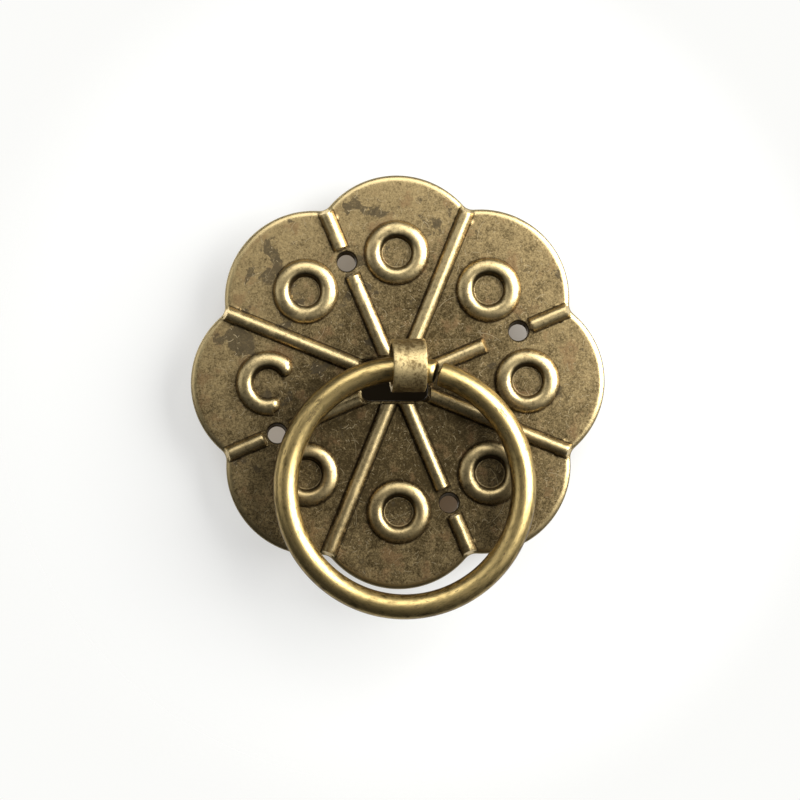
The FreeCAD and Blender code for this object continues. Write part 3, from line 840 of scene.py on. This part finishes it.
def board_finish():
    """Pale paint that shows only from the front, with painted shade dark behind the slot and a
    painted shadow dim behind the plate.
    """
    finish, tree, shader, place = new_finish("pale_board")
    shader.inputs["Roughness"].default_value = 0.9
    shader.inputs["Specular IOR Level"].default_value = 0.0
    shader.inputs["Emission Strength"].default_value = 0.6
    out = place.node("ShaderNodeVectorMath", {"operation": "LENGTH"}, {0: place}, "Value")
    # painted shade: the board is dark behind the slot
    past_slot = out.ramp(6.2, 7.2)
    paint = past_slot.mixed(SLOT_SHADE_PAINT, BOARD_PAINT)
    # painted shadow behind the plate: the board is dim, paler to the left and darkest low down
    # behind the ring
    dim = place.axis("X").ramp(-11.5, -4.0).mixed(DIM_LEFT, DIM_RIGHT)
    dim = place.axis("Z").ramp(-10.5, -8.0).mixed(DIM_LOW, dim)
    glow = out.ramp(14.0, 21.0).mixed(dim, BOARD_GLOW)
    glow = past_slot.mixed(SLOT_SHADE_GLOW, glow)
    wired(tree, shader, Base_Color=paint, Emission_Color=glow)
    # it fades out at its edge, and throws no shadow
    lit = Shade(tree, shader.outputs[0])
    clear = lit.node("ShaderNodeBsdfTransparent", {}, {})
    behind = lit.node("ShaderNodeNewGeometry", {}, {}, "Backfacing")
    shadow = lit.node("ShaderNodeLightPath", {}, {}, "Is Shadow Ray")
    faded = behind.most(shadow).most(out.ramp(34.0, 46.0))
    shown = lit.node("ShaderNodeMixShader", {}, {0: faded, 1: lit, 2: clear})
    tree.links.new(shown.socket, tree.nodes["Material Output"].inputs["Surface"])
    return finish


def make_stage():
    """The pale board behind the handle."""
    bm = bmesh.new()
    bmesh.ops.create_grid(bm, x_segments=1, y_segments=1, size=BOARD_HALF)
    bmesh.ops.rotate(bm, cent=(0, 0, 0), matrix=UPRIGHT, verts=bm.verts)
    bmesh.ops.translate(bm, vec=BOARD_PLACE, verts=bm.verts)
    mesh = bpy.data.meshes.new("board")
    bm.to_mesh(mesh)
    bm.free()
    mesh.materials.append(board_finish())
    board = add_object("board", mesh)


def light_scene():
    """Square lights that face the handle, in a dark room that the camera sees as pale."""
    for name, (place, size, power) in LIGHTS.items():
        lamp = bpy.data.lights.new(name, "AREA")
        lamp.shape = "SQUARE"
        lamp.size = size
        lamp.energy = power
        light = add_object(name, lamp)
        light.location = place
        light.rotation_euler = (-Vector(place)).to_track_quat("-Z", "Y").to_euler()
    world = bpy.data.worlds.new("studio")
    bpy.context.scene.world = world
    world.use_nodes = True
    tree = world.node_tree
    dark = tree.nodes["Background"]
    dark.inputs["Color"].default_value = ROOM_DARK
    room = Shade(tree, dark.outputs[0])
    pale = room.node("ShaderNodeBackground", {}, {"Color": ROOM_SEEN})
    seen = room.node("ShaderNodeLightPath", {}, {}, "Is Camera Ray")
    shown = room.node("ShaderNodeMixShader", {}, {0: seen, 1: room, 2: pale})
    tree.links.new(shown.socket, tree.nodes["World Output"].inputs["Surface"])


def place_camera():
    """Looks straight at the plate's front, rolled very slightly."""
    camera = bpy.data.cameras.new("camera")
    camera.lens = CAMERA_LENS
    camera.clip_start = CAMERA_NEAR
    holder = add_object("camera", camera)
    facing = UPRIGHT.to_4x4() @ Matrix.Rotation(math.radians(CAMERA_ROLL), 4, "Z")
    holder.matrix_world = Matrix.Translation(CAMERA_PLACE) @ facing
    bpy.context.scene.camera = holder


make_plate(plate_finish())
make_pin(
    drawn_finish("pin_brass", PIN_DULL, PIN_BRIGHT, streak_scale=2.6, roughness=0.58, wire=False)
)
make_ring(
    drawn_finish("ring_brass", RING_DULL, RING_BRIGHT, streak_scale=3.0, roughness=0.43, wire=True)
)
make_stage()
light_scene()
place_camera()
bpy.context.scene.view_settings.view_transform = "Standard"
